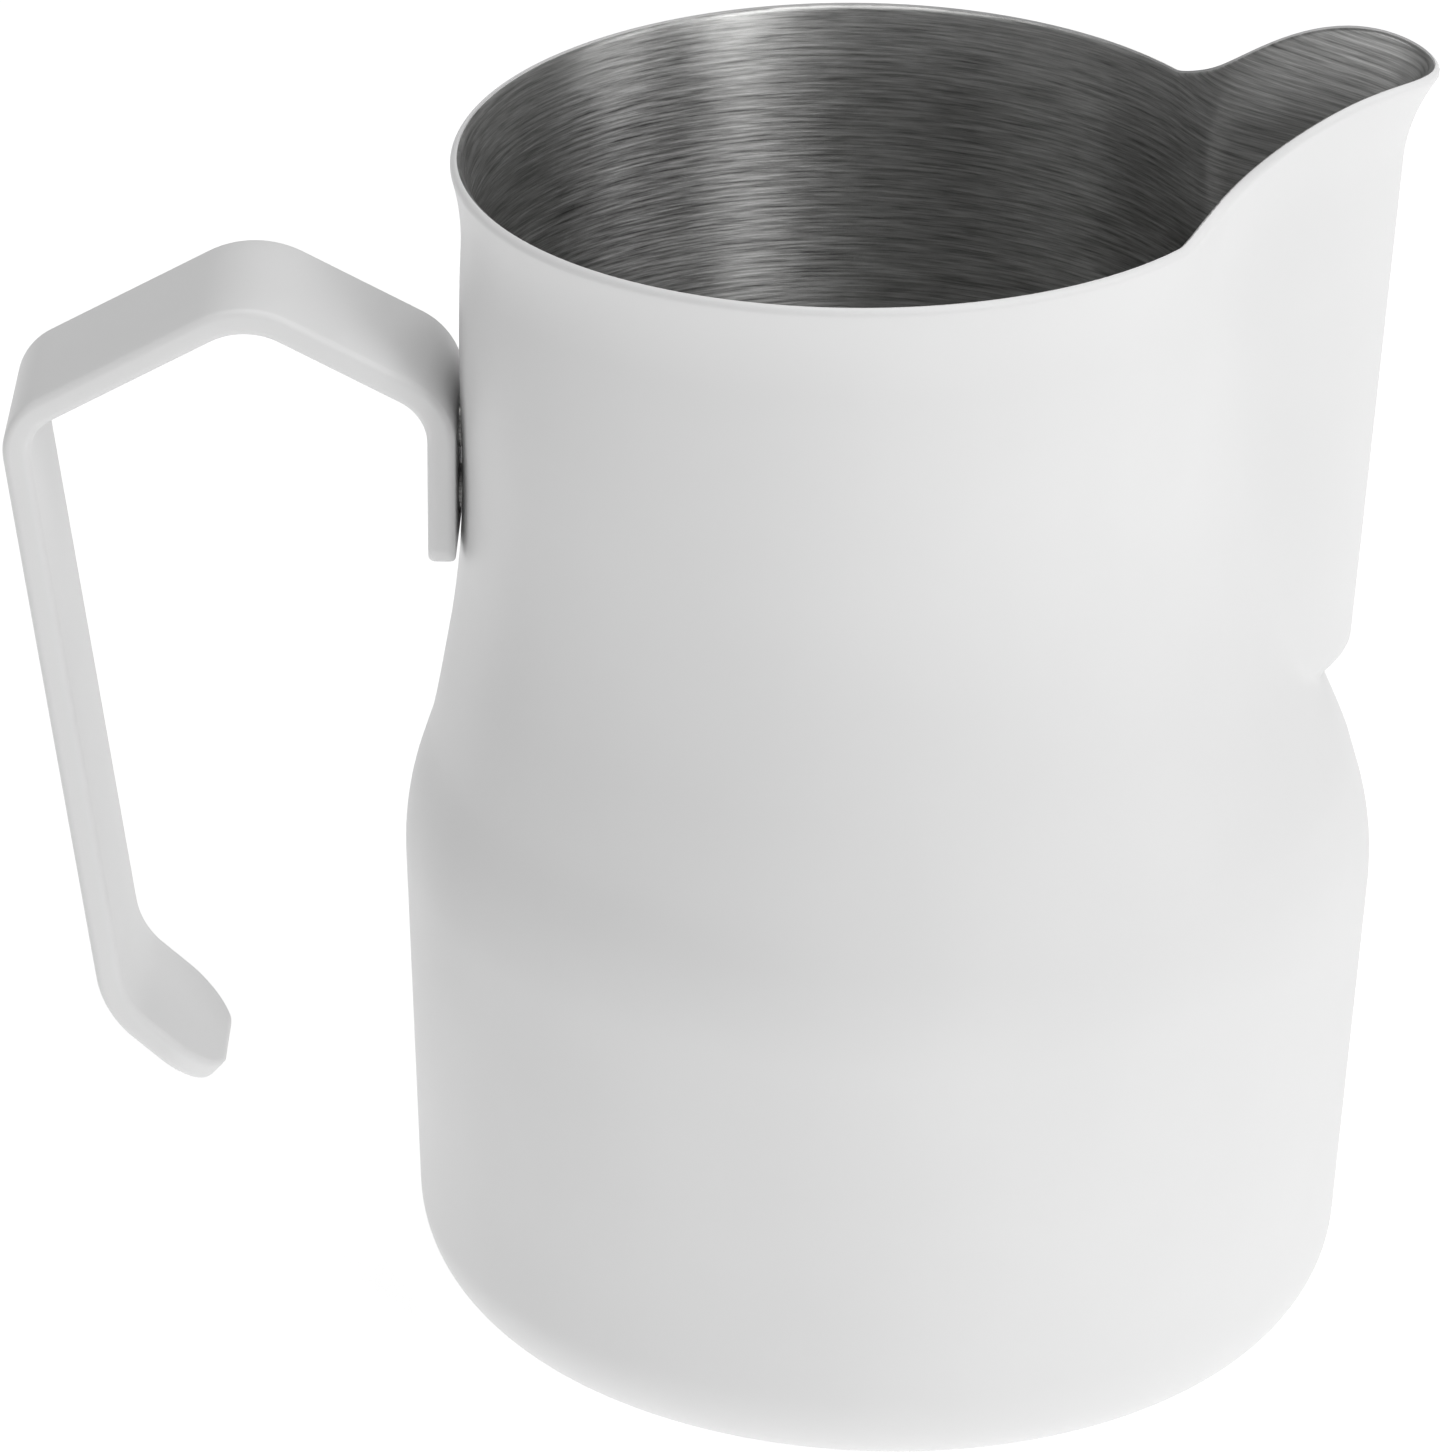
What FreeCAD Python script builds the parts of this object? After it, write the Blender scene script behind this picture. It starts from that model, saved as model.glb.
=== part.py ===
import FreeCAD, Part
import Sketcher
import math
import os

# Milk frothing pitcher, half litre, in millimetres.
# +Z is up and z = 0 is the surface that the pitcher stands on. The Z axis is the axis of the round belly.
# The spout points along +X and the handle along -X. The pitcher is the same on both sides of the plane y = 0.

Vector = FreeCAD.Vector

SIZES = [
    # alias, size, what it is
    ("sheet_thickness", 0.9, "steel sheet of the body"),
    ("coat_thickness", 0.2, "powder coat"),
    ("foot_radius", 41.93, "corner where the wall would meet the ground"),
    ("foot_rounding", 9.7, "outer radius of the base corner"),
    ("belly_radius", 44.24, "corner between the wall and the shoulder"),
    ("belly_height", 47.6, "its height"),
    ("belly_rounding", 25.0, "its radius"),
    ("neck_radius", 36.0, "corner between the shoulder and the neck"),
    ("neck_height", 74.5, "its height"),
    ("neck_rounding", 80.0, "its radius"),
    ("throat_radius", 34.55, "neck below the flared rim"),
    ("rim_height", 112.2, "top of the rim beside the axis"),
    ("lean_start", 55.0, "height where the sections start to move towards the handle"),
    ("lean_end", 105.0, "height where they stop"),
    ("lean_ease", 0.65, "power that makes them move early"),
    ("lean_shift", 4.8, "how far they have moved"),
    ("rim_tilt", 0.018, "how much the rim climbs towards the spout, per mm"),
    ("rim_bow", 0.00034, "how much the rim drops at its ends, per square mm"),
    ("flare_depth", 8.0, "how far below the edge the flare starts"),
    ("edge_zone", 12.0, "how far below the rim the wall follows the edge"),
    ("rim_flare", 1.3, "how far the rim flares out"),
    ("lip_flare", 2.3, "how far the lip of the spout flares out"),
    ("lip_rise", 9.9, "how far the lip stands above the rim"),
    ("lip_start", 24.5, "x where the edge starts to rise"),
    ("lip_length", 18.5, "from there to the highest point"),
    ("lip_softness", 0.06, "share of that length over which the rise starts gently"),
    ("notch_height", 63.0, "lower end of the spout"),
    ("ridge_reach", 41.15, "x of the spout ridge at the notch, before rounding"),
    ("ridge_slope", 0.0517, "how much the ridge leans out per mm"),
    ("ridge_drop", 2.3, "how far the ridge is drawn in at the notch"),
    ("ridge_rounding", 4.0, "height over which it is drawn in"),
    ("spout_steepness", 2.25, "cotangent of half the angle between the spout's sides"),
    ("nose_radius", 3.8, "radius of the ridge seen from above"),
    ("valley_radius", 5.0, "widest blend between the spout and the neck"),
    ("valley_start", 1.2, "narrowest blend, at the notch"),
    ("valley_share", 0.8, "blend for each mm that the ridge stands out"),
    ("merge_depth", 5.0, "how far below the notch the spout is still blended in"),
    ("base_ring", 1.6, "width of the ring that the pitcher stands on"),
    ("base_recess", 1.5, "depth of the pressed base"),
    ("base_slope", 3.5, "width of the step from the ring to the recess"),
    ("coat_end_angle", 16.0, "where the coat ends on the base corner, degrees from the ground"),
    ("handle_width", 16.8, "flat bar"),
    ("handle_thickness", 2.5, "flat bar"),
    ("handle_edge", 0.75, "rounding of the bar's edges"),
    ("handle_tip_rounding", 6.0, "rounding of the free end, seen flat on"),
    ("foot_corner_rounding", 2.0, "rounding of the foot's lower corners, seen flat on"),
    ("weld_gap", 0.05, "between the coat and the ends of the handle's foot"),
    ("weld_diameter", 4.0, "weld nugget"),
    ("weld_bite", 0.08, "how far a nugget reaches into the steel on each side"),
    ("weld_low", 78.5, "height of the lower weld"),
    ("weld_high", 84.5, "height of the upper weld"),
    ("grip_x", 80.7, "grip's upper bend, distance from the axis"),
    ("grip_z", 87.1, "its height"),
    ("apex_x", 58.6, "top of the handle, distance from the axis"),
    ("apex_z", 99.75, "its height"),
    ("shoulder_z", 90.2, "bend above the foot"),
    ("foot_z", 74.0, "lower end of the foot"),
    ("heel_x", 71.4, "grip's lower bend, distance from the axis"),
    ("heel_z", 27.8, "its height"),
    ("tip_x", 61.7, "free end, distance from the axis"),
    ("tip_z", 19.4, "its height"),
    ("shoulder_bend", 7.0, "outer radius of the bend above the foot"),
    ("apex_bend", 9.0, "outer radius at the top"),
    ("grip_bend", 6.0, "outer radius of the grip's upper bend"),
    ("heel_bend", 10.0, "outer radius of the grip's lower bend"),
]


def add_sizes(sheet, sizes, first_row):
    for row, (alias, size, meaning) in enumerate(sizes, start=first_row):
        sheet.set("A%d" % row, meaning)
        sheet.set("B%d" % row, "%.4f" % size)
        sheet.setAlias("B%d" % row, alias)
    sheet.Document.recompute()


doc = FreeCAD.newDocument("frothing_pitcher")
sheet = doc.addObject("Spreadsheet::Sheet", "Sizes")
add_sizes(sheet, SIZES, 1)


def smoothstep(t):
    t = min(max(t, 0.0), 1.0)
    return t * t * (3.0 - 2.0 * t)


def smooth_max(a, b, width):
    """The larger of a and b, with the corner between them rounded over width."""
    share = max(width - abs(a - b), 0.0) / width
    return max(a, b) + share ** 3 * width / 6.0


class Bend:
    """An arc that rounds the corner between two straight lines. Points are (x, height)."""

    def __init__(self, previous, corner, following, radius):
        middle = Vector(corner[0], corner[1], 0)
        before = (middle - Vector(previous[0], previous[1], 0)).normalize()
        after = (Vector(following[0], following[1], 0) - middle).normalize()
        self.turn = before.getAngle(after)
        self.side = 1.0 if before.cross(after).z > 0 else -1.0
        self.radius = radius
        reach = radius * math.tan(self.turn / 2.0)
        self.start = middle - before * reach
        self.end = middle + after * reach
        self.centre = self.start + Vector(-before.y, before.x, 0) * radius * self.side
        self.middle = self.centre + (middle - self.centre).normalize() * radius

    def at_height(self, height):
        half_chord = math.sqrt(self.radius ** 2 - (height - self.centre.y) ** 2)
        return self.centre.x + self.side * half_chord


# ---- the outline of the round body ----

FOOT = (sheet.foot_radius, 0.0)
BELLY = (sheet.belly_radius, sheet.belly_height)
NECK = (sheet.neck_radius, sheet.neck_height)
THROAT = (sheet.throat_radius, sheet.rim_height)

foot_bend = Bend((0.0, 0.0), FOOT, BELLY, sheet.foot_rounding)
belly_bend = Bend(FOOT, BELLY, NECK, sheet.belly_rounding)
neck_bend = Bend(BELLY, NECK, THROAT, sheet.neck_rounding)


def on_line(low, high, height):
    return low[0] + (high[0] - low[0]) * (height - low[1]) / (high[1] - low[1])


def wall_radius(height):
    """Radius of the body at a height above the base corner."""
    for bend in (belly_bend, neck_bend):
        if bend.start.y <= height <= bend.end.y:
            return bend.at_height(height)
    if height < BELLY[1]:
        return on_line(FOOT, BELLY, height)
    if height < NECK[1]:
        return on_line(BELLY, NECK, height)
    return on_line(NECK, THROAT, height)


# ---- the neck and the spout ----

def lean(height):
    """How far a section's centre stands towards the handle."""
    span = sheet.lean_end - sheet.lean_start
    share = max(height - sheet.lean_start, 0.0) / span
    return sheet.lean_shift * smoothstep(share ** sheet.lean_ease)


def ridge(height):
    """x of the spout's ridge."""
    rise = height - sheet.notch_height
    drawn_in = max(1.0 - rise / sheet.ridge_rounding, 0.0)
    return sheet.ridge_reach + sheet.ridge_slope * rise - sheet.ridge_drop * drawn_in ** 2


def spout_radius(angle, tip):
    """Distance from a section's centre to the spout's side: a hyperbola with its nose at tip."""
    steep = sheet.spout_steepness
    blunt = sheet.nose_radius * steep ** 2
    apex = tip + blunt
    cosine = math.cos(angle)
    spread = cosine ** 2 - (steep * math.sin(angle)) ** 2
    product = apex ** 2 - blunt ** 2
    if cosine <= 0.0:
        return 0.0
    return product / (apex * cosine + math.sqrt(apex ** 2 * cosine ** 2 - spread * product))


def section_point(angle, height):
    """A point of the outer surface, before the edge flares out. Angle 0 is the spout."""
    middle = -lean(height)
    body = wall_radius(height)
    tip = ridge(height) - middle
    blend = min(max(sheet.valley_share * (tip - body), sheet.valley_start), sheet.valley_radius)
    if height < sheet.notch_height - sheet.merge_depth:
        reach = body
    else:
        reach = smooth_max(body, spout_radius(angle, tip), blend)
    return Vector(middle + reach * math.cos(angle), reach * math.sin(angle), height)


def edge_height(x):
    """Height of the trimmed edge: level round the neck, rising to the lip of the spout."""
    level = sheet.rim_height + sheet.rim_tilt * x - sheet.rim_bow * x * x
    run = (x - sheet.lip_start) / sheet.lip_length
    if run <= 0.0:
        return level
    soft = sheet.lip_softness
    ramp = run * run / (run + soft) * (1.0 + soft)
    return level + sheet.lip_rise * math.sin(math.pi / 2.0 * ramp)


# ---- the surface of the body: a point for each angle and each step of the climb from ground to edge ----

FLARE_ZONE = sheet.rim_height - sheet.edge_zone
CORNER_TOP = foot_bend.end.y
EDGE_COAT_RADIUS = sheet.coat_thickness + sheet.sheet_thickness / 2.0
EDGE_COAT_TURNS = range(0, 120, 20)

# Steps over which the slope of the surface is measured.
ANGLE_STEP = math.radians(0.5)
CLIMB_STEP = 0.02


def edge_top(angle):
    """Where the wall ends and its rounded edge starts, found by stepping towards it from the rim's height."""
    top = sheet.rim_height
    for _ in range(4):
        top = edge_height(section_point(angle, top).x + sheet.rim_flare) - EDGE_COAT_RADIUS
    return top


def flare(depth, height):
    """How far the wall has flared out at a depth below the edge."""
    if depth >= sheet.flare_depth:
        return 0.0
    lip_share = smoothstep((height - sheet.rim_height) / sheet.lip_rise)
    full = sheet.rim_flare + (sheet.lip_flare - sheet.rim_flare) * lip_share
    return full * (1.0 - depth / sheet.flare_depth) ** 2


def outer_point(angle, climb):
    """Outer surface of the coated body. Below CORNER_TOP the climb runs round the base corner."""
    if climb < CORNER_TOP:
        turn = foot_bend.turn * climb / CORNER_TOP
        reach = foot_bend.centre.x + foot_bend.radius * math.sin(turn)
        height = foot_bend.radius * (1.0 - math.cos(turn))
        return Vector(reach * math.cos(angle), reach * math.sin(angle), height)
    if climb <= FLARE_ZONE:
        return section_point(angle, climb)
    top = edge_top(angle)
    share = (climb - FLARE_ZONE) / (sheet.rim_height - FLARE_ZONE)
    height = FLARE_ZONE + (top - FLARE_ZONE) * share
    along = section_point(angle + ANGLE_STEP, height) - section_point(angle - ANGLE_STEP, height)
    outward = Vector(along.y, -along.x, 0).normalize()
    return section_point(angle, height) + outward * flare(top - height, top)


def outward_normal(angle, climb):
    around = outer_point(angle + ANGLE_STEP, climb) - outer_point(angle - ANGLE_STEP, climb)
    low = max(climb - CLIMB_STEP, 0.0)
    high = min(climb + CLIMB_STEP, sheet.rim_height)
    upward = outer_point(angle, high) - outer_point(angle, low)
    return around.cross(upward).normalize()


def inside_point(angle, climb, depth):
    """A point at a depth below the outer surface."""
    return outer_point(angle, climb) - outward_normal(angle, climb) * depth


def spaced(start, end, count):
    return [start + (end - start) * index / count for index in range(count)]


# Angles of half the body, closest together on the spout's nose and its valley.
HALF_TURN = spaced(0, 10, 8) + spaced(10, 40, 15) + spaced(40, 180, 32)
ANGLES = [math.radians(180)] + [-math.radians(turn) for turn in reversed(HALF_TURN)]
ANGLES = ANGLES + [math.radians(turn) for turn in HALF_TURN[1:]]
WALL_CLIMBS = (spaced(CORNER_TOP, 40, 7) + spaced(40, 60, 10) + spaced(60, 67, 16)
               + spaced(67, FLARE_ZONE, 11) + spaced(FLARE_ZONE, sheet.rim_height, 12) + [sheet.rim_height])
COAT_END = CORNER_TOP * sheet.coat_end_angle / math.degrees(foot_bend.turn)
COATED_CLIMBS = [COAT_END] + spaced(COAT_END, CORNER_TOP, 9)[1:] + WALL_CLIMBS
BARE_CLIMBS = spaced(0.0, COAT_END, 3) + [COAT_END]
INSIDE_CLIMBS = spaced(0.0, CORNER_TOP, 12) + WALL_CLIMBS
STEEL_DEPTH = sheet.coat_thickness
INSIDE_DEPTH = sheet.coat_thickness + sheet.sheet_thickness


def wall_rows(climbs, depth):
    return [[inside_point(angle, climb, depth) for angle in ANGLES] for climb in climbs]


def edge_rows(radius, degree_steps):
    """Rows round the edge's top, about the middle of the sheet, in degrees from the outside."""
    middle_depth = sheet.coat_thickness + sheet.sheet_thickness / 2.0
    rows = []
    for degrees in degree_steps:
        turn = math.radians(degrees)
        row = []
        for angle in ANGLES:
            outward = outward_normal(angle, sheet.rim_height)
            after = outer_point(angle + ANGLE_STEP, sheet.rim_height)
            around = after - outer_point(angle - ANGLE_STEP, sheet.rim_height)
            upward = outward.cross(around.normalize())
            centre = outer_point(angle, sheet.rim_height) - outward * middle_depth
            row.append(centre + (outward * math.cos(turn) + upward * math.sin(turn)) * radius)
        rows.append(row)
    return rows


def base_rows(thickness):
    """Rows from the flat middle of the pressed base out to the ring that the pitcher stands on."""
    ring = foot_bend.centre.x
    slope_top = ring - sheet.base_ring - sheet.base_slope
    rows = []
    for step in range(9):
        share = step / 8.0
        reach = slope_top + sheet.base_slope * share
        height = thickness + sheet.base_recess * (1.0 - smoothstep(share))
        rows.append([Vector(reach * math.cos(angle), reach * math.sin(angle), height) for angle in ANGLES])
    return rows


def smooth_face(rows):
    """A face that closes round the body, with the rows of points as the poles of a cubic surface."""
    across = min(3, len(rows) - 1)
    surface = Part.BSplineSurface()
    around_knots = list(range(len(ANGLES) + 1))
    across_knots = list(range(len(rows) - across + 1))
    across_mults = [across + 1] + [1] * (len(across_knots) - 2) + [across + 1]
    columns = [list(column) for column in zip(*rows)]
    surface.buildFromPolesMultsKnots(columns, [1] * len(around_knots), across_mults, around_knots, across_knots,
                                     True, False, 3, across)
    return surface.toShape()


def loop_through(row):
    curve = Part.BSplineCurve()
    curve.buildFromPolesMultsKnots(row, [1] * (len(row) + 1), list(range(len(row) + 1)), True, 3)
    return Part.Wire([curve.toShape()])


def flat_face(outer_row, inner_row=None):
    """A flat face inside one row of points, or between two."""
    face = Part.Face(loop_through(outer_row))
    return face.cut(Part.Face(loop_through(inner_row))).Faces[0] if inner_row else face


def closed_solid(faces):
    shell = Part.Compound(faces)
    shell.sewShape(0.001)
    solid = Part.Solid(Part.Shell(shell.Faces))
    if solid.Volume < 0:
        solid.reverse()
    return solid


def body_shell_shape():
    recess = base_rows(0.0)
    corner = wall_rows(BARE_CLIMBS, 0.0)
    mask_step = [corner[-1], wall_rows([COAT_END], STEEL_DEPTH)[0]]
    wall_and_inside = (wall_rows(COATED_CLIMBS, STEEL_DEPTH)
                       + edge_rows(sheet.sheet_thickness / 2.0, range(30, 180, 30))
                       + wall_rows(reversed(INSIDE_CLIMBS), INSIDE_DEPTH)
                       + list(reversed(base_rows(INSIDE_DEPTH))))
    return closed_solid([flat_face(recess[0]), smooth_face(recess), flat_face(corner[0], recess[-1]),
                         smooth_face(corner), smooth_face(mask_step), smooth_face(wall_and_inside),
                         flat_face(wall_and_inside[-1])])


def body_coat_shape():
    outside_and_edge = wall_rows(COATED_CLIMBS, 0.0) + edge_rows(EDGE_COAT_RADIUS, EDGE_COAT_TURNS)
    back = edge_rows(sheet.sheet_thickness / 2.0, reversed(EDGE_COAT_TURNS)) + wall_rows(
        reversed(COATED_CLIMBS), STEEL_DEPTH)
    end_step = [outside_and_edge[-1], back[0]]
    mask_step = [back[-1], outside_and_edge[0]]
    return closed_solid([smooth_face(outside_and_edge), smooth_face(end_step), smooth_face(back),
                         smooth_face(mask_step)])


# ---- the handle ----

def origin_plane(body, role):
    return next(plane for plane in body.Origin.OriginFeatures if plane.Role == role)


def attached_sketch(body, role, name, offset):
    sketch = body.newObject("Sketcher::SketchObject", name)
    sketch.AttachmentSupport = [(origin_plane(body, role), "")]
    sketch.MapMode = "FlatFace"
    sketch.AttachmentOffset = FreeCAD.Placement(Vector(0, 0, offset), FreeCAD.Rotation())
    return sketch


def measure(sketch, kind, first, second, name, expression, value):
    """A named distance from one point to another, bound to the sheet."""
    index = sketch.addConstraint(Sketcher.Constraint(kind, *first, *second, value))
    sketch.renameConstraint(index, name)
    sketch.setExpression("Constraints." + name, expression)


def bar_path(body):
    """The bar's outer side, from the foot's lower end to the free end, with a tangent arc at each bend."""
    names = ["foot", "shoulder", "apex", "grip", "heel", "tip"]
    corners = [(-getattr(sheet, name + "_x"), getattr(sheet, name + "_z")) for name in names]
    bends = [Bend(*corners[index - 1:index + 2], getattr(sheet, names[index] + "_bend"))
             for index in range(1, len(names) - 1)]
    path = attached_sketch(body, "XZ_Plane", "BarPath", 0)
    path.addGeometry([Part.Point(Vector(*corner, 0)) for corner in corners], True)
    for index, name in enumerate(names):
        measure(path, "DistanceX", (-1, 1), (index, 1), name + "_x", "-Sizes.%s_x" % name, corners[index][0])
        measure(path, "DistanceY", (-1, 1), (index, 1), name + "_z", "Sizes.%s_z" % name, corners[index][1])
    starts = [Vector(*corners[0], 0)] + [bend.end for bend in bends]
    ends = [bend.start for bend in bends] + [Vector(*corners[-1], 0)]
    lines = [path.addGeometry(Part.LineSegment(*span), False) for span in zip(starts, ends)]
    path.addConstraint(Sketcher.Constraint("Coincident", lines[0], 1, 0, 1))
    path.addConstraint(Sketcher.Constraint("Coincident", lines[-1], 2, len(names) - 1, 1))
    for index, bend in enumerate(bends):
        arc = path.addGeometry(Part.Arc(bend.start, bend.middle, bend.end), False)
        first, last = (1, 2) if bend.side > 0 else (2, 1)
        path.addConstraint(Sketcher.Constraint("PointOnObject", index + 1, 1, lines[index]))
        path.addConstraint(Sketcher.Constraint("PointOnObject", index + 1, 1, lines[index + 1]))
        path.addConstraint(Sketcher.Constraint("Tangent", lines[index], 2, arc, first))
        path.addConstraint(Sketcher.Constraint("Tangent", arc, last, lines[index + 1], 1))
        radius = names[index + 1] + "_bend"
        place = path.addConstraint(Sketcher.Constraint("Radius", arc, bend.radius))
        path.renameConstraint(place, radius)
        path.setExpression("Constraints." + radius, "Sizes." + radius)
    return path


def bar_section(body):
    """The flat bar's section at the foot's lower end, on the side away from the neck."""
    outer = -sheet.foot_x
    inner = outer - sheet.handle_thickness
    half = sheet.handle_width / 2.0
    section = attached_sketch(body, "XY_Plane", "BarSection", 0)
    section.setExpression("AttachmentOffset.Base.z", "Sizes.foot_z")
    corners = [Vector(inner, -half, 0), Vector(outer, -half, 0), Vector(outer, half, 0), Vector(inner, half, 0)]
    for start, end in zip(corners, corners[1:] + corners[:1]):
        section.addGeometry(Part.LineSegment(start, end), False)
    for side in range(4):
        section.addConstraint(Sketcher.Constraint("Coincident", side, 2, (side + 1) % 4, 1))
    for side, direction in ((0, "Horizontal"), (2, "Horizontal"), (3, "Vertical")):
        section.addConstraint(Sketcher.Constraint(direction, side))
    section.addConstraint(Sketcher.Constraint("Symmetric", 1, 1, 1, 2, -1))
    measure(section, "DistanceX", (-1, 1), (1, 1), "outer", "-Sizes.foot_x", outer)
    measure(section, "DistanceX", (0, 1), (0, 2), "thickness", "Sizes.handle_thickness", sheet.handle_thickness)
    measure(section, "DistanceY", (1, 1), (1, 2), "width", "Sizes.handle_width", sheet.handle_width)
    return section


def edges_where(feature, test):
    return ["Edge%d" % (index + 1) for index, edge in enumerate(feature.Shape.Edges) if test(edge)]


def add_fillet(body, base, name, edges, expression):
    fillet = body.newObject("PartDesign::Fillet", name)
    fillet.Base = (base, edges)
    fillet.setExpression("Radius", expression)
    body.Document.recompute()
    return fillet


def make_handle_bar():
    """One flat bar, bent four times, with its ends and edges rounded."""
    body = doc.addObject("PartDesign::Body", "handle_bar")
    path = bar_path(body)
    section = bar_section(body)
    doc.recompute()
    bar = body.newObject("PartDesign::AdditivePipe", "Bar")
    bar.Profile = section
    bar.Spine = (path, edges_where(path, lambda edge: True))
    doc.recompute()

    def across_the_thickness(edge):
        return abs(edge.Length - sheet.handle_thickness) < 0.05

    def end_corner(feature, low, high):
        return edges_where(feature, lambda edge: across_the_thickness(edge)
                           and low < edge.BoundBox.Center.z < high)

    tip = end_corner(bar, 0.0, sheet.heel_z - 2.0)
    rounded_tip = add_fillet(body, bar, "TipCorners", tip, "Sizes.handle_tip_rounding")
    foot = edges_where(rounded_tip, lambda edge: across_the_thickness(edge)
                       and abs(edge.BoundBox.Center.z - sheet.foot_z) < 0.5)
    rounded_foot = add_fillet(body, rounded_tip, "FootCorners", foot, "Sizes.foot_corner_rounding")

    def sharp(edge):
        seam = abs(edge.Length - sheet.handle_width) < 0.05 or across_the_thickness(edge)
        return not seam

    add_fillet(body, rounded_foot, "RoundedEdges", edges_where(rounded_foot, sharp), "Sizes.handle_edge")
    return body


# ---- the welds ----

def wall_x(height):
    """x of the neck's outer surface on the handle's side."""
    return outer_point(math.pi, height).x


def gap_at(height):
    """Between the neck and the foot at a height. The foot is straight and the neck is slightly hollow."""
    foot = on_line((-sheet.foot_x, sheet.foot_z), (-sheet.shoulder_x, sheet.shoulder_z), height)
    return wall_x(height) - foot


def make_weld_nuggets():
    """Two short discs that join the neck's steel to the foot, through the coat and the gap."""
    discs = []
    welds = [("LowerNugget", sheet.weld_low, "low_gap"), ("UpperNugget", sheet.weld_high, "high_gap")]
    for name, height, gap in welds:
        outward = outward_normal(math.pi, height)
        disc = doc.addObject("Part::Cylinder", name)
        disc.setExpression("Radius", "Sizes.weld_diameter / 2")
        disc.setExpression("Height", "Sizes.coat_thickness + Sizes.%s + 2 * Sizes.weld_bite" % gap)
        start = Vector(wall_x(height), 0, height) - outward * (sheet.coat_thickness + sheet.weld_bite)
        disc.Placement = FreeCAD.Placement(start, FreeCAD.Rotation(Vector(0, 0, 1), outward))
        discs.append(disc)
    nuggets = doc.addObject("Part::Compound", "weld_nuggets")
    nuggets.Links = discs
    doc.recompute()
    return nuggets


def add_feature(name, shape):
    feature = doc.addObject("Part::Feature", name)
    feature.Shape = shape
    feature.Placement = FreeCAD.Placement()
    return feature


def check_document():
    for item in doc.Objects:
        if "Invalid" in item.State or "Error" in item.State:
            raise RuntimeError("%s failed to rebuild" % item.Label)


def write_parts(nodes):
    os.makedirs("parts", exist_ok=True)
    for node in nodes:
        if node.Shape.isNull() or not node.Shape.isValid():
            raise RuntimeError("%s has no valid shape" % node.Label)
        node.Shape.exportStep("parts/%s.step" % node.Label)
        print(node.Label, len(node.Shape.Solids), "solid(s), %.0f mm3" % node.Shape.Volume, node.Shape.BoundBox)


def main():
    foot_sizes = [
        ("foot_x", -wall_x(sheet.foot_z) + sheet.weld_gap, "foot's lower end, distance from the axis"),
        ("shoulder_x", -wall_x(sheet.shoulder_z) + sheet.weld_gap, "bend above the foot, distance from the axis"),
    ]
    add_sizes(sheet, foot_sizes, len(SIZES) + 1)
    gap_sizes = [
        ("low_gap", gap_at(sheet.weld_low), "between the coat and the foot at the lower weld"),
        ("high_gap", gap_at(sheet.weld_high), "between the coat and the foot at the upper weld"),
    ]
    add_sizes(sheet, gap_sizes, len(SIZES) + len(foot_sizes) + 1)
    handle = make_handle_bar()
    shell = add_feature("body_shell", body_shell_shape())
    nuggets = make_weld_nuggets()
    coat = add_feature("body_coat", body_coat_shape().cut(nuggets.Shape))
    doc.recompute()
    check_document()
    write_parts([shell, coat, handle, nuggets])


main()
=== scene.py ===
import bisect
import functools
import math

import bmesh
import bpy
from mathutils import Matrix, Vector


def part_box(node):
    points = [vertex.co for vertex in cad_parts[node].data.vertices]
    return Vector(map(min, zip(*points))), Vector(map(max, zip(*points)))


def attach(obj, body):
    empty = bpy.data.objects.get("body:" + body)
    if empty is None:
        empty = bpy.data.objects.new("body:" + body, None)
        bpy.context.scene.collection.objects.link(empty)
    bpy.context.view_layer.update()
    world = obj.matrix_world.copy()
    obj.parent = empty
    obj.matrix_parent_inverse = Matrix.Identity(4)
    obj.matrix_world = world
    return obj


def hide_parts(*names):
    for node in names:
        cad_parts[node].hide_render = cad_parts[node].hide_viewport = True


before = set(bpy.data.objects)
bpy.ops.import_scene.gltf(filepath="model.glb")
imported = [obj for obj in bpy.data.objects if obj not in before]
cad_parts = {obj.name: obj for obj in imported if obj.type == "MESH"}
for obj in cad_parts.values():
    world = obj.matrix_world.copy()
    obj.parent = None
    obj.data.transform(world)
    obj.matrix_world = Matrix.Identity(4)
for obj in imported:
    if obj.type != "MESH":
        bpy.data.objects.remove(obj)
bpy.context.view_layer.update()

# Lengths in the shape functions are millimetres, as on the pitcher's drawing. MM turns them into metres.
# +X is the spout, -X the handle, +Z up, and the Z axis is the axis of the round belly.
MM = 0.001


def box_mm(node):
    low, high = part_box(node)
    return Vector(low) / MM, Vector(high) / MM


HANDLE_LOW, HANDLE_HIGH = box_mm("handle_bar")

# ---- the driving sizes of the body, with the same names as in the pitcher's CAD sheet ----

SHEET = 0.9
COAT = 0.2
EDGE = COAT + SHEET / 2.0
FOOT = (41.93, 0.0)
FOOT_ROUNDING = 9.7
BELLY = (44.24, 47.6)
BELLY_ROUNDING = 25.0
NECK = (36.0, 74.5)
NECK_ROUNDING = 80.0
RIM_HEIGHT = 112.2
THROAT = (34.55, RIM_HEIGHT)
LEAN_START = 55.0
LEAN_END = 105.0
LEAN_EASE = 0.65
LEAN_SHIFT = 4.8
RIM_TILT = 0.018
RIM_BOW = 0.00034
FLARE_DEPTH = 8.0
EDGE_ZONE = 12.0
FLARE_ZONE = RIM_HEIGHT - EDGE_ZONE
RIM_FLARE = 1.3
LIP_FLARE = 2.3
LIP_RISE = 9.9
LIP_START = 24.5
LIP_LENGTH = 18.5
LIP_SOFTNESS = 0.06
NOTCH_HEIGHT = 63.0
RIDGE_REACH = 41.15
RIDGE_SLOPE = 0.0517
RIDGE_DROP = 2.3
RIDGE_ROUNDING = 4.0
SPOUT_STEEPNESS = 2.25
NOSE_RADIUS = 3.8
VALLEY_RADIUS = 5.0
VALLEY_START = 1.2
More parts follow.
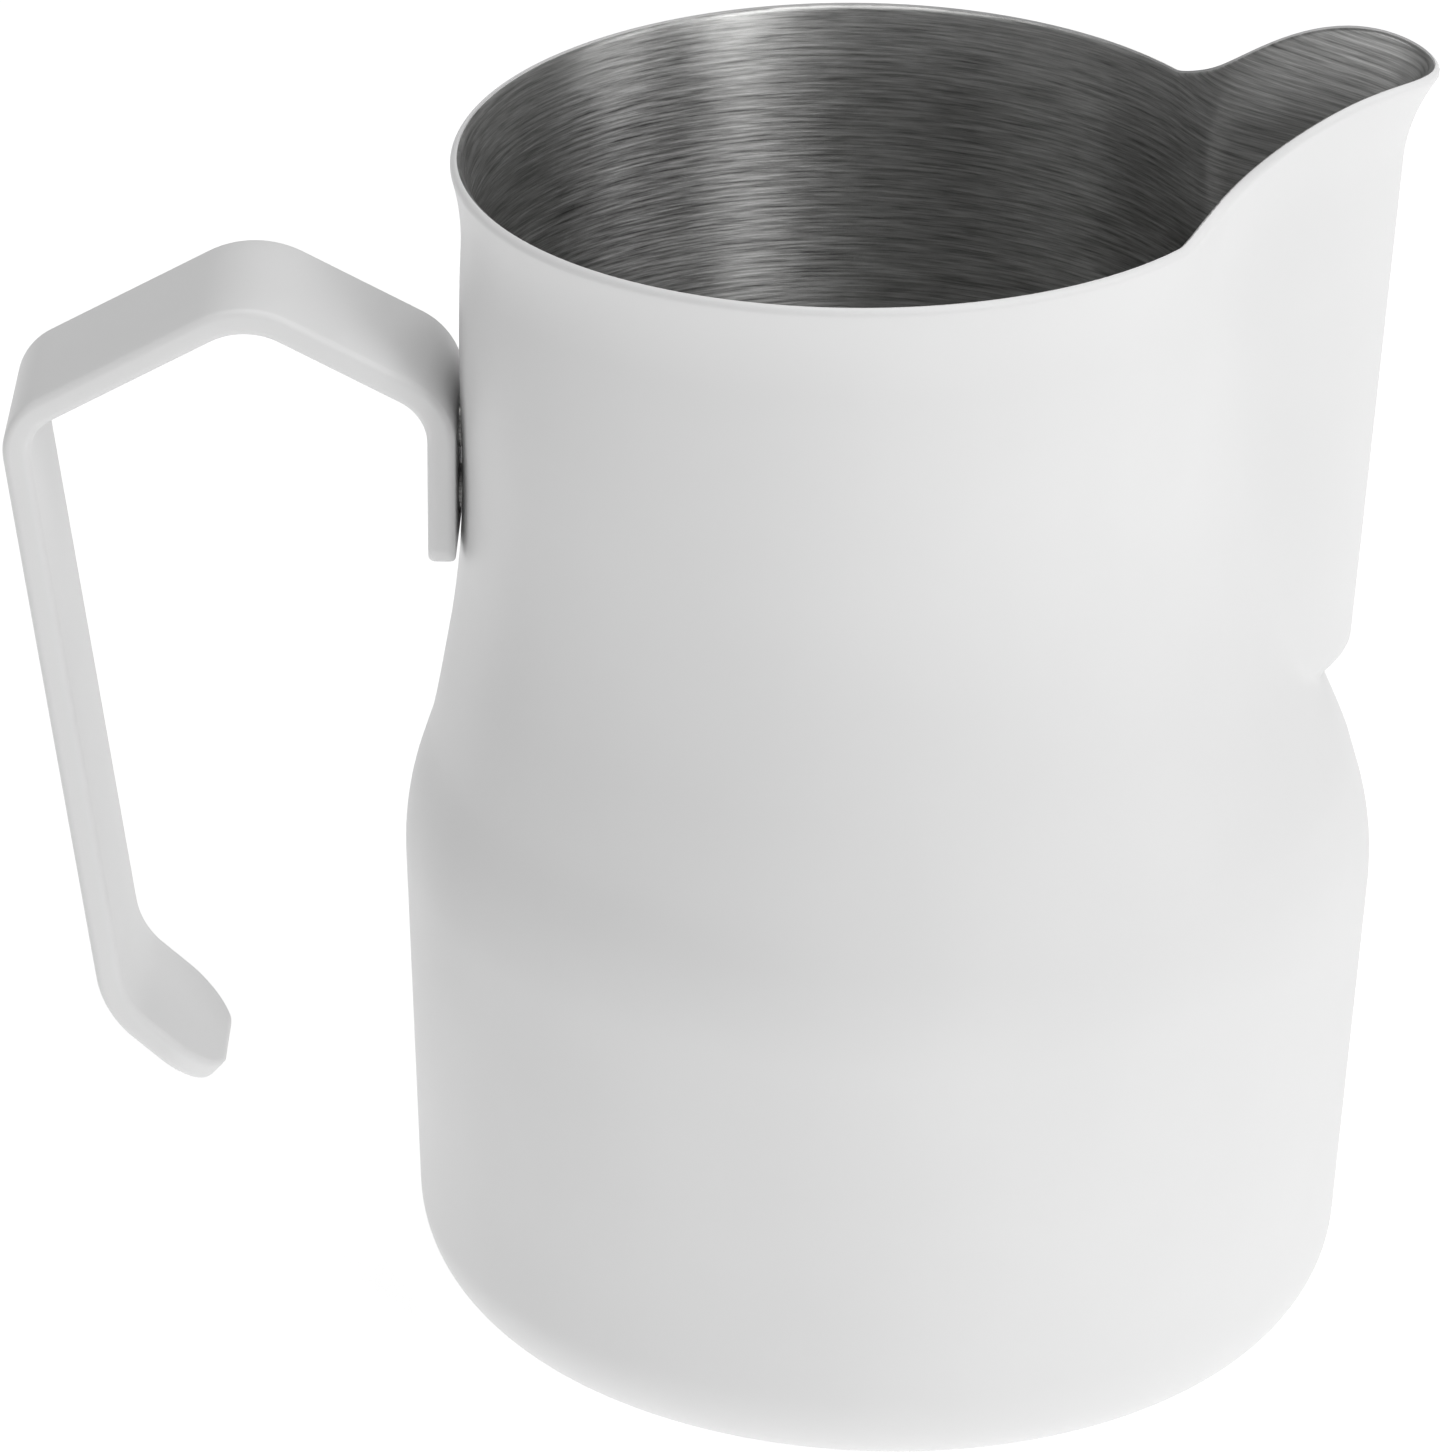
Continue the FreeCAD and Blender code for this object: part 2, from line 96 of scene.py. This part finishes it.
VALLEY_SHARE = 0.8
MERGE_DEPTH = 5.0
BASE_RING = 1.6
BASE_RECESS = 1.5
BASE_SLOPE = 3.5
COAT_END_ANGLE = 16.0


def smoothstep(t):
    t = min(max(t, 0.0), 1.0)
    return t * t * (3.0 - 2.0 * t)


def smooth_max(a, b, width):
    """The larger of a and b, with the corner between them rounded over width."""
    share = max(width - abs(a - b), 0.0) / width
    return max(a, b) + share ** 3 * width / 6.0


def spaced(start, end, count):
    return [start + (end - start) * index / count for index in range(count)]


class Bend:
    """An arc that rounds the corner between two straight lines. Points are (x, height)."""

    def __init__(self, previous, corner, following, radius):
        before = (Vector(corner) - Vector(previous)).normalized()
        after = (Vector(following) - Vector(corner)).normalized()
        self.turn = before.angle(after)
        self.side = 1.0 if before.x * after.y - before.y * after.x > 0 else -1.0
        self.radius = radius
        reach = radius * math.tan(self.turn / 2.0)
        self.start = Vector(corner) - before * reach
        self.end = Vector(corner) + after * reach
        self.centre = self.start + Vector((-before.y, before.x)) * radius * self.side

    def at_height(self, height):
        half_chord = math.sqrt(self.radius ** 2 - (height - self.centre.y) ** 2)
        return self.centre.x + self.side * half_chord

    def points(self, count):
        """Points along the arc, its start and its end included."""
        spoke = self.start - self.centre
        return [self.centre + Matrix.Rotation(self.side * self.turn * index / count, 2) @ spoke
                for index in range(count + 1)]


foot_bend = Bend((0.0, 0.0), FOOT, BELLY, FOOT_ROUNDING)
belly_bend = Bend(FOOT, BELLY, NECK, BELLY_ROUNDING)
neck_bend = Bend(BELLY, NECK, THROAT, NECK_ROUNDING)
CORNER_TOP = foot_bend.end.y


def on_line(low, high, height):
    return low[0] + (high[0] - low[0]) * (height - low[1]) / (high[1] - low[1])


def wall_radius(height):
    """Radius of the body at a height above the base corner."""
    for bend in (belly_bend, neck_bend):
        if bend.start.y <= height <= bend.end.y:
            return bend.at_height(height)
    if height < BELLY[1]:
        return on_line(FOOT, BELLY, height)
    if height < NECK[1]:
        return on_line(BELLY, NECK, height)
    return on_line(NECK, THROAT, height)


def lean(height):
    """How far a section's centre stands towards the handle."""
    share = max(height - LEAN_START, 0.0) / (LEAN_END - LEAN_START)
    return LEAN_SHIFT * smoothstep(share ** LEAN_EASE)


def ridge(height):
    """x of the spout's ridge."""
    rise = height - NOTCH_HEIGHT
    drawn_in = max(1.0 - rise / RIDGE_ROUNDING, 0.0)
    return RIDGE_REACH + RIDGE_SLOPE * rise - RIDGE_DROP * drawn_in ** 2


def spout_radius(angle, tip):
    """Distance from a section's centre to the spout's side: a hyperbola with its nose at tip."""
    blunt = NOSE_RADIUS * SPOUT_STEEPNESS ** 2
    apex = tip + blunt
    cosine = math.cos(angle)
    if cosine <= 0.0:
        return 0.0
    spread = cosine ** 2 - (SPOUT_STEEPNESS * math.sin(angle)) ** 2
    product = apex ** 2 - blunt ** 2
    return product / (apex * cosine + math.sqrt(apex ** 2 * cosine ** 2 - spread * product))


def section_point(angle, height):
    """A point of the outer surface, before the edge flares out. Angle 0 is the spout."""
    middle = -lean(height)
    reach = wall_radius(height)
    if height > NOTCH_HEIGHT - MERGE_DEPTH:
        tip = ridge(height) - middle
        blend = min(max(VALLEY_SHARE * (tip - reach), VALLEY_START), VALLEY_RADIUS)
        reach = smooth_max(reach, spout_radius(angle, tip), blend)
    return Vector((middle + reach * math.cos(angle), reach * math.sin(angle), height))


def edge_height(x):
    """Height of the trimmed edge: level round the neck, rising to the lip of the spout."""
    level = RIM_HEIGHT + RIM_TILT * x - RIM_BOW * x * x
    run = (x - LIP_START) / LIP_LENGTH
    if run <= 0.0:
        return level
    ramp = run * run / (run + LIP_SOFTNESS) * (1.0 + LIP_SOFTNESS)
    return level + LIP_RISE * math.sin(math.pi / 2.0 * ramp)


EDGE_PASSES = 4


@functools.lru_cache(maxsize=None)
def edge_top(angle):
    """Where the wall ends and its rounded edge starts, found by stepping towards it from the rim's height."""
    top = RIM_HEIGHT
    for _ in range(EDGE_PASSES):
        top = edge_height(section_point(angle, top).x + RIM_FLARE) - EDGE
    return top


def flare(depth, height):
    """How far the wall has flared out at a depth below the edge."""
    if depth >= FLARE_DEPTH:
        return 0.0
    lip_share = smoothstep((height - RIM_HEIGHT) / LIP_RISE)
    full = RIM_FLARE + (LIP_FLARE - RIM_FLARE) * lip_share
    return full * (1.0 - depth / FLARE_DEPTH) ** 2


# Steps over which the slope of the surface is measured.
ANGLE_STEP = math.radians(0.5)
CLIMB_STEP = 0.02


def outer_point(angle, climb):
    """Outer surface of the coated body. Below CORNER_TOP the climb runs round the base corner."""
    if climb < CORNER_TOP:
        turn = foot_bend.turn * climb / CORNER_TOP
        reach = foot_bend.centre.x + FOOT_ROUNDING * math.sin(turn)
        height = FOOT_ROUNDING * (1.0 - math.cos(turn))
        return Vector((reach * math.cos(angle), reach * math.sin(angle), height))
    if climb <= FLARE_ZONE:
        return section_point(angle, climb)
    top = edge_top(angle)
    share = (climb - FLARE_ZONE) / (RIM_HEIGHT - FLARE_ZONE)
    height = FLARE_ZONE + (top - FLARE_ZONE) * share
    along = section_point(angle + ANGLE_STEP, height) - section_point(angle - ANGLE_STEP, height)
    outward = Vector((along.y, -along.x, 0)).normalized()
    return section_point(angle, height) + outward * flare(top - height, top)


def surface_frame(angle, climb):
    """The outer surface's point, its outward normal and its direction up the wall."""
    around = outer_point(angle + ANGLE_STEP, climb) - outer_point(angle - ANGLE_STEP, climb)
    low = max(climb - CLIMB_STEP, 0.0)
    high = min(climb + CLIMB_STEP, RIM_HEIGHT)
    upward = outer_point(angle, high) - outer_point(angle, low)
    outward = around.cross(upward).normalized()
    return outer_point(angle, climb), outward, outward.cross(around.normalized())


# Angles of half the body, closest together on the spout's nose and its valley.
# Climbs are closest together at the shoulder and the notch.
HALF_TURN = spaced(0, 10, 12) + spaced(10, 40, 30) + spaced(40, 180, 70)
ANGLES = [math.radians(180)] + [-math.radians(turn) for turn in reversed(HALF_TURN)]
ANGLES = ANGLES + [math.radians(turn) for turn in HALF_TURN[1:]]
WALL_CLIMBS = (spaced(CORNER_TOP, 40, 14) + spaced(40, 60, 24) + spaced(60, 67, 28)
               + spaced(67, FLARE_ZONE, 26) + spaced(FLARE_ZONE, RIM_HEIGHT, 24) + [RIM_HEIGHT])
COAT_END = CORNER_TOP * COAT_END_ANGLE / math.degrees(foot_bend.turn)
COATED_CLIMBS = spaced(COAT_END, CORNER_TOP, 20) + WALL_CLIMBS
BARE_CLIMBS = spaced(0.0, COAT_END, 6) + [COAT_END]
INSIDE_CLIMBS = spaced(0.0, CORNER_TOP, 26) + WALL_CLIMBS


def wall_rings(climbs, depth):
    rings = []
    for climb in climbs:
        frames = [surface_frame(angle, climb) for angle in ANGLES]
        rings.append([point - outward * depth for point, outward, _ in frames])
    return rings


def edge_rings(radius, turns):
    """Rings round the edge's top, about the middle of the sheet, in degrees from the outside."""
    frames = [surface_frame(angle, RIM_HEIGHT) for angle in ANGLES]
    rings = []
    for degrees in turns:
        turn = math.radians(degrees)
        rings.append([point - outward * EDGE + (outward * math.cos(turn) + upward * math.sin(turn)) * radius
                      for point, outward, upward in frames])
    return rings


def circle_ring(reach, height):
    return [Vector((reach * math.cos(angle), reach * math.sin(angle), height)) for angle in ANGLES]


def base_rings(height):
    """Rings of the pressed base, from near its middle out to the ring that the pitcher stands on."""
    middle = 1.0
    steps = 12
    slope_top = foot_bend.centre.x - BASE_RING - BASE_SLOPE
    rings = [circle_ring(reach, height + BASE_RECESS) for reach in spaced(middle, slope_top, steps)]
    for step in range(steps + 1):
        share = step / steps
        rise = BASE_RECESS * (1.0 - smoothstep(share))
        rings.append(circle_ring(slope_top + BASE_SLOPE * share, height + rise))
    return rings


# ---- meshes ----

CREASE = 50.0
STEEL_EDGE_TURNS = range(15, 180, 15)
COAT_EDGE_TURNS = range(0, 105, 10)


def mesh_object(name, points, faces):
    mesh = bpy.data.meshes.new(name)
    mesh.from_pydata([point * MM for point in points], [], faces)
    mesh.validate()
    piece = bpy.data.objects.new(name, mesh)
    bpy.context.scene.collection.objects.link(piece)
    return piece


def ring_mesh(name, rings, joined):
    """A surface through closed rings. It closes on itself if joined, or else has a disc at each end."""
    count = len(rings[0])
    points = [point for ring in rings for point in ring]
    last = len(rings) if joined else len(rings) - 1
    faces = []
    for level in range(last):
        low = level * count
        high = (level + 1) % len(rings) * count
        for column in range(count):
            beside = (column + 1) % count
            faces.append((low + column, low + beside, high + beside, high + column))
    if not joined:
        faces.append(tuple(reversed(range(count))))
        faces.append(tuple(range((len(rings) - 1) * count, len(rings) * count)))
    return mesh_object(name, points, faces)


def shade(piece):
    """Smooth shading, with a crease wherever two faces meet at more than CREASE degrees."""
    mesh = piece.data
    work = bmesh.new()
    work.from_mesh(mesh)
    bmesh.ops.recalc_face_normals(work, faces=work.faces)
    for face in work.faces:
        face.smooth = True
    for edge in work.edges:
        edge.smooth = len(edge.link_faces) < 2 or edge.calc_face_angle() < math.radians(CREASE)
    work.to_mesh(mesh)
    work.free()


def make_steel_body():
    """The drawn sheet: underside, wall under the coat, rolled edge, inside and floor."""
    rings = base_rings(0.0) + wall_rings(BARE_CLIMBS, 0.0) + wall_rings(COATED_CLIMBS, COAT)
    rings += edge_rings(SHEET / 2.0, STEEL_EDGE_TURNS)
    rings += wall_rings(reversed(INSIDE_CLIMBS), COAT + SHEET)
    rings += list(reversed(base_rings(COAT + SHEET)))
    body = ring_mesh("steel_body", rings, joined=False)
    shade(body)
    return body


def make_white_coat():
    """The coat: a skin on the outside that rolls over the edge and ends there and at the base corner."""
    rings = wall_rings(COATED_CLIMBS, 0.0) + edge_rings(EDGE, COAT_EDGE_TURNS)[1:]
    rings += edge_rings(SHEET / 2.0, reversed(COAT_EDGE_TURNS))[:-1]
    rings += wall_rings(reversed(COATED_CLIMBS), COAT)
    coat = ring_mesh("white_coat_skin", rings, joined=True)
    shade(coat)
    return coat


# ---- the handle ----

HANDLE_THICKNESS = 2.5
HANDLE_EDGE = 0.75
TIP_CORNERS = 6.0
FOOT_CORNERS = 2.0
WELD_GAP = 0.05
FOOT_Z = 74.0
SHOULDER_Z = 90.2
APEX = (-58.6, 99.75)
GRIP = (-80.7, 87.1)
HEEL = (-71.4, 27.8)
TIP = (-61.7, 19.4)
BENDS = [7.0, 9.0, 6.0, 10.0]

# How finely the handle's mesh is divided: along its bends, its straights, its two ends and its edges.
BEND_STEPS = 14
LONGEST_STEP = 1.5
TIP_STEPS = 24
FOOT_STEPS = 14
EDGE_STEPS = 6
FLAT_SHARES = (0.6, 0.2)


def handle_path():
    """The bar's face that rests on the neck and faces outwards on the grip, with its bends rounded."""
    def beside_the_wall(height):
        return outer_point(math.pi, height).x - WELD_GAP

    foot = (beside_the_wall(FOOT_Z), FOOT_Z)
    shoulder = (beside_the_wall(SHOULDER_Z), SHOULDER_Z)
    corners = [foot, shoulder, APEX, GRIP, HEEL, TIP]
    path = [Vector(corners[0])]
    for index, radius in enumerate(BENDS):
        path += Bend(*corners[index:index + 3], radius).points(BEND_STEPS)
    return path + [Vector(corners[-1])]


def filled(path, longest):
    """The path with points added so that no step is longer than longest."""
    result = [path[0]]
    for start, end in zip(path, path[1:]):
        count = max(1, math.ceil((end - start).length / longest))
        result += [start.lerp(end, step / count) for step in range(1, count + 1)]
    return result


def rounded_end(distance, half_width, rounding):
    """Half the bar's width at a distance from one of its ends, whose corners are rounded."""
    if distance >= rounding:
        return half_width
    return half_width - rounding + math.sqrt(rounding ** 2 - (rounding - distance) ** 2)


def end_steps(rounding, count):
    """Distances from an end of the bar, closest together at the end itself."""
    return [rounding * (1.0 - math.cos(math.pi / 2.0 * step / count)) for step in range(count)]


def handle_stations(lengths):
    """Distances along the bar at which it gets a ring of points."""
    total = lengths[-1]
    middle = [length for length in lengths if FOOT_CORNERS < length < total - TIP_CORNERS]
    tip = [total - step for step in reversed(end_steps(TIP_CORNERS, TIP_STEPS))]
    return end_steps(FOOT_CORNERS, FOOT_STEPS) + [FOOT_CORNERS] + middle + [total - TIP_CORNERS] + tip


def half_thickness(inset):
    """Half the bar's thickness at an inset from its outline, where its edges are rounded."""
    missing = max(HANDLE_EDGE - inset, 0.0)
    return HANDLE_THICKNESS / 2.0 - HANDLE_EDGE + math.sqrt(HANDLE_EDGE ** 2 - missing ** 2)


def bar_ring(middle, inward, half, from_end):
    """Points round the bar: across its outer face and back across its inner face."""
    edge = [(half - inset, inset) for inset in end_steps(HANDLE_EDGE, EDGE_STEPS) + [HANDLE_EDGE]]
    flat = [((half - HANDLE_EDGE) * share, HANDLE_EDGE) for share in FLAT_SHARES]
    side = edge + flat
    widths = [(-reach, inset) for reach, inset in side] + [(reach, inset) for reach, inset in reversed(side)]
    outer = []
    inner = []
    for reach, inset in widths:
        thickness = half_thickness(min(inset, from_end))
        out = middle - inward * thickness
        back = middle + inward * thickness
        outer.append(Vector((out.x, reach, out.y)))
        inner.append(Vector((back.x, reach, back.y)))
    return outer + list(reversed(inner))


def make_handle():
    """One flat bar, bent four times, with rounded edges and ends."""
    half_width = (HANDLE_HIGH.y - HANDLE_LOW.y) / 2.0
    path = filled(handle_path(), LONGEST_STEP)
    lengths = [0.0]
    for start, end in zip(path, path[1:]):
        lengths.append(lengths[-1] + (end - start).length)
    rings = []
    for distance in handle_stations(lengths):
        index = min(bisect.bisect_right(lengths, distance + 1e-6) - 1, len(path) - 2)
        share = (distance - lengths[index]) / (lengths[index + 1] - lengths[index])
        at_point = share < 1e-3 and index > 0
        heading = (path[index + 1] - path[index - 1 if at_point else index]).normalized()
        inward = Vector((-heading.y, heading.x))
        middle = path[index].lerp(path[index + 1], share) + inward * HANDLE_THICKNESS / 2.0
        from_end = min(distance, lengths[-1] - distance)
        half = min(rounded_end(distance, half_width, FOOT_CORNERS),
                   rounded_end(lengths[-1] - distance, half_width, TIP_CORNERS))
        rings.append(bar_ring(middle, inward, half, max(from_end, 0.0)))
    return strip_mesh("handle", rings)


def strip_mesh(name, rings):
    """A bar through rings that hold its outer points and then its inner points, with flat ends."""
    count = len(rings[0])
    points = [point for ring in rings for point in ring]
    faces = []
    for level in range(len(rings) - 1):
        low = level * count
        for column in range(count):
            beside = (column + 1) % count
            faces.append((low + column, low + beside, low + count + beside, low + count + column))
    for start in (0, (len(rings) - 1) * count):
        for column in range(count // 2 - 1):
            partner = start + count - 1 - column
            faces.append((start + column, start + column + 1, partner - 1, partner))
    bar = mesh_object(name, points, faces)
    shade(bar)
    return bar


# ---- materials ----

NOISE_LOW = 0.3
NOISE_HIGH = 0.7


class Material:
    """A node material with short calls for adding and joining nodes."""

    def __init__(self, name):
        self.material = bpy.data.materials.new(name)
        self.material.use_nodes = True
        self.tree = self.material.node_tree
        self.shader = self.tree.nodes["Principled BSDF"]

    def node(self, kind, **settings):
        node = self.tree.nodes.new(kind)
        for name, value in settings.items():
            setattr(node, name, value)
        return node

    def link(self, source, target):
        self.tree.links.new(source, target)

    def math(self, operation, first, second):
        node = self.node("ShaderNodeMath", operation=operation)
        for socket, value in zip(node.inputs, (first, second)):
            if isinstance(value, (int, float)):
                socket.default_value = value
            else:
                self.link(value, socket)
        return node.outputs[0]

    def noise(self, vector, scale, detail, roughness=0.5):
        node = self.node("ShaderNodeTexNoise")
        node.inputs["Scale"].default_value = scale
        node.inputs["Detail"].default_value = detail
        node.inputs["Roughness"].default_value = roughness
        self.link(vector, node.inputs["Vector"])
        return node.outputs["Fac"]

    def stretch(self, source, low, high):
        """Noise, which mostly lies between NOISE_LOW and NOISE_HIGH, spread between low and high."""
        node = self.node("ShaderNodeMapRange")
        node.inputs["From Min"].default_value = NOISE_LOW
        node.inputs["From Max"].default_value = NOISE_HIGH
        node.inputs["To Min"].default_value = low
        node.inputs["To Max"].default_value = high
        self.link(source, node.inputs["Value"])
        return node.outputs["Result"]

    def ramp_colour(self, factor, dark, light):
        node = self.node("ShaderNodeMix", data_type="RGBA")
        node.inputs["A"].default_value = (*dark, 1.0)
        node.inputs["B"].default_value = (*light, 1.0)
        self.link(factor, node.inputs["Factor"])
        return node.outputs["Result"]

    def bump(self, height, distance, strength=1.0):
        node = self.node("ShaderNodeBump")
        node.inputs["Distance"].default_value = distance
        node.inputs["Strength"].default_value = strength
        self.link(height, node.inputs["Height"])
        self.link(node.outputs["Normal"], self.shader.inputs["Normal"])

    def place(self):
        """The object's own coordinates, in metres."""
        return self.node("ShaderNodeTexCoord").outputs["Object"]


def brushed_coordinates(steel):
    """Coordinates that run round the neck's axis, so that noise becomes scratches round the inside."""
    along = 1.6
    across = 1000.0
    split = steel.node("ShaderNodeSeparateXYZ")
    steel.link(steel.place(), split.inputs[0])
    from_axis = steel.math("ADD", split.outputs["X"], LEAN_SHIFT * MM)
    angle = steel.math("ARCTAN2", split.outputs["Y"], from_axis)
    join = steel.node("ShaderNodeCombineXYZ")
    steel.link(steel.math("MULTIPLY", angle, along), join.inputs["X"])
    steel.link(steel.math("MULTIPLY", split.outputs["Z"], across), join.inputs["Y"])
    return join.outputs[0]


def brushed_steel():
    """Bare stainless steel, brushed round the axis."""
    steel = Material("brushed_steel")
    shader = steel.shader
    shader.inputs["Metallic"].default_value = 1.0
    shader.inputs["Anisotropic"].default_value = 0.95
    shader.inputs["Anisotropic Rotation"].default_value = 0.25
    tangent = steel.node("ShaderNodeTangent", direction_type="RADIAL", axis="Z")
    steel.link(tangent.outputs[0], shader.inputs["Tangent"])
    around = brushed_coordinates(steel)
    scratches = steel.noise(around, 3.2, 5.0, 0.65)
    patches = steel.noise(steel.place(), 60.0, 2.0)
    dark = (0.24, 0.24, 0.237)
    light = (0.80, 0.80, 0.79)
    colour = steel.ramp_colour(steel.stretch(scratches, 0.0, 1.0), dark, light)
    steel.link(colour, shader.inputs["Base Color"])
    rough = steel.math("ADD", steel.stretch(scratches, 0.32, 0.52), steel.stretch(patches, -0.02, 0.02))
    steel.link(rough, shader.inputs["Roughness"])
    steel.bump(scratches, 0.00004)
    return steel.material


def white_powder_coat():
    """Satin white powder coat, with a fine grain and a very slight unevenness of tone."""
    coat = Material("white_powder_coat")
    shader = coat.shader
    shader.inputs["Roughness"].default_value = 0.42
    shader.inputs["IOR"].default_value = 1.45
    place = coat.place()
    clouds = coat.noise(place, 35.0, 3.0)
    dark = (0.79, 0.79, 0.79)
    light = (0.82, 0.82, 0.82)
    colour = coat.ramp_colour(coat.stretch(clouds, 0.0, 1.0), dark, light)
    coat.link(colour, shader.inputs["Base Color"])
    grain = coat.noise(place, 1400.0, 3.0)
    coat.bump(grain, 0.000012, 0.6)
    return coat.material


def pale_floor():
    """A matt studio floor that glows a little, so that it looks white and shows no hard shadow."""
    floor = Material("studio_floor")
    floor.shader.inputs["Base Color"].default_value = (0.4, 0.4, 0.4, 1.0)
    floor.shader.inputs["Roughness"].default_value = 0.9
    floor.shader.inputs["Specular IOR Level"].default_value = 0.0
    floor.shader.inputs["Emission Color"].default_value = (1.0, 1.0, 1.0, 1.0)
    floor.shader.inputs["Emission Strength"].default_value = 0.8
    return floor.material


# ---- studio and camera ----

def make_floor():
    half = 4.0
    mesh = bpy.data.meshes.new("floor")
    corners = [(-half, -half, 0), (half, -half, 0), (half, half, 0), (-half, half, 0)]
    mesh.from_pydata(corners, [], [(0, 1, 2, 3)])
    floor = bpy.data.objects.new("floor", mesh)
    bpy.context.scene.collection.objects.link(floor)
    mesh.materials.append(pale_floor())


def make_camera():
    """A long lens, looking down at the pitcher from the side, with the spout on the right."""
    yaw = -0.01638
    pitch = 0.4492
    roll = 0.02496
    forward = Vector((math.sin(yaw) * math.cos(pitch), math.cos(yaw) * math.cos(pitch), -math.sin(pitch)))
    level_right = Vector((math.cos(yaw), -math.sin(yaw), 0.0))
    level_up = level_right.cross(forward)
    right = level_right * math.cos(roll) + level_up * math.sin(roll)
    up = level_up * math.cos(roll) - level_right * math.sin(roll)
    turn = Matrix((right, up, -forward)).transposed().to_4x4()
    data = bpy.data.cameras.new("camera")
    data.sensor_width = 36.0
    data.lens = 254.84
    data.shift_x = -0.01265
    data.shift_y = 0.00551
    data.clip_end = 50.0
    camera = bpy.data.objects.new("camera", data)
    camera.matrix_world = Matrix.Translation(Vector((0.0, -844.48, 461.57)) * MM) @ turn
    bpy.context.scene.collection.objects.link(camera)
    bpy.context.scene.camera = camera


def make_softbox(name, azimuth, elevation, distance, size, power):
    """An area light that faces the pitcher. Azimuth 0 is the camera's side, 90 the spout's side."""
    data = bpy.data.lights.new(name, "AREA")
    data.shape = "RECTANGLE"
    data.size, data.size_y = size
    data.energy = power
    light = bpy.data.objects.new(name, data)
    level = distance * math.cos(math.radians(elevation))
    centre = Vector((0.0, 0.0, RIM_HEIGHT / 2.0 * MM))
    offset = Vector((level * math.sin(math.radians(azimuth)), -level * math.cos(math.radians(azimuth)),
                     distance * math.sin(math.radians(elevation))))
    light.location = centre + offset
    light.rotation_euler = (-offset).to_track_quat("-Z", "Y").to_euler()
    bpy.context.scene.collection.objects.link(light)


def make_world():
    world = bpy.data.worlds.new("studio")
    world.use_nodes = True
    background = world.node_tree.nodes["Background"]
    background.inputs["Color"].default_value = (1.0, 1.0, 1.0, 1.0)
    background.inputs["Strength"].default_value = 0.26
    bpy.context.scene.world = world


def make_studio():
    make_floor()
    make_world()
    make_softbox("key", 38.0, 42.0, 1.2, (0.24, 1.1), 4.6)
    make_softbox("top", 180.0, 80.0, 1.2, (0.6, 0.6), 4.5)
    make_softbox("spout_side", 80.0, 35.0, 1.2, (0.3, 0.9), 2.5)
    bpy.context.scene.view_settings.view_transform = "Standard"


def finish_piece(piece, material, node):
    """Gives a piece its material, hangs it under the root body and hides the CAD node that it stands in for.
    """
    piece.data.materials.append(material)
    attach(piece, "root")
    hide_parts(node)


steel = brushed_steel()
paint = white_powder_coat()
finish_piece(make_steel_body(), steel, "body_shell")
finish_piece(make_white_coat(), paint, "body_coat")
finish_piece(make_handle(), paint, "handle_bar")
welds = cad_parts["weld_nuggets"]
for place in range(len(welds.material_slots)):
    welds.material_slots[place].material = steel
make_studio()
make_camera()
